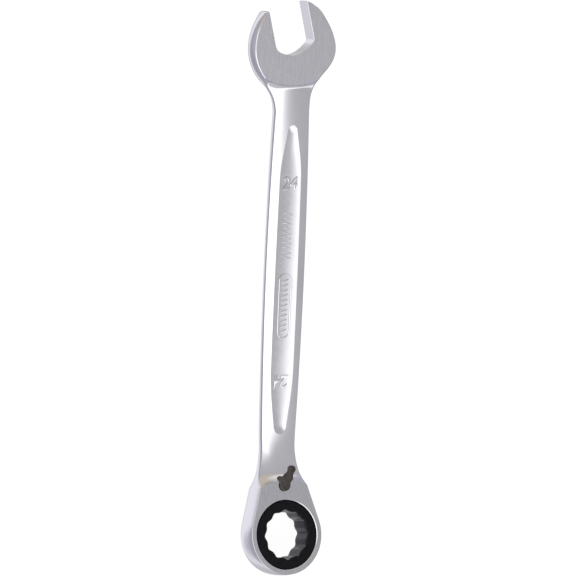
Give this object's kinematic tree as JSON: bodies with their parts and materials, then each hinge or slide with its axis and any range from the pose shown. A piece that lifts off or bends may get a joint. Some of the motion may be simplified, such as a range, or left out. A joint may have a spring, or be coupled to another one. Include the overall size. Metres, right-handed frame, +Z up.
{
  "type": "reversible ratcheting combination wrench",
  "caption": "Combination wrench with an angled open jaw at one end and a tilted, reversible ratcheting ring head at the other.",
  "frame": {"origin": "bottom centre of the bounding box, on the surface the wrench lies on, lever side up", "axes": "+Y along the handle from the ring head to the open jaw, +Z up through the lever side, +X across the handle"},
  "size_m": [0.0528, 0.3162, 0.0236],
  "materials": {
    "polished_chrome": "polished, with matte ground jaw and ring faces",
    "black_phosphate": "matte black phosphate",
    "spring_steel": "satin",
    "tool_steel": "fine ground",
    "gunmetal": "dark brown-grey, satin",
    "rubber": "matte"
  },
  "bodies": {
    "handle": {"wrench_body": "polished_chrome", "gear_snap_ring": "spring_steel"},
    "ratchet": {"ratchet_gear": "black_phosphate"},
    "lever": {"reversing_lever": "gunmetal", "lever_clip": "spring_steel", "lever_o_ring": "rubber", "detent_spring": "spring_steel"},
    "pawl": {"pawl": "tool_steel"},
    "plunger": {"detent_plunger": "tool_steel"}
  },
  "joints": [
    {"name": "gear_spin", "type": "hinge", "parent": "handle", "child": "ratchet", "pos_m": [0.001, -0.13507, 0.01261], "axis": [0, 0.2027, 0.9792], "continuous": true},
    {"name": "lever_flip", "type": "hinge", "parent": "handle", "child": "lever", "pos_m": [0.001, -0.10843, 0.00709], "axis": [0, 0.2027, 0.9792], "range_deg": [0, 62]},
    {"name": "pawl_rock", "type": "hinge", "parent": "handle", "child": "pawl", "pos_m": [0.001, -0.11304, 0.00805], "axis": [0, 0.2027, 0.9792], "range_deg": [-9.3, 0]},
    {"name": "plunger_press", "type": "slide", "parent": "lever", "child": "plunger", "axis": [0.515, 0.8394, -0.1738], "range_m": [0, 0.0005], "stiffness_N_per_m": 400, "springref_m": -0.0015, "deforming": ["detent_spring"]}
  ],
  "couplings": [
    {"joint": "pawl_rock", "follows": "lever_flip", "ratio": -0.15}
  ]
}
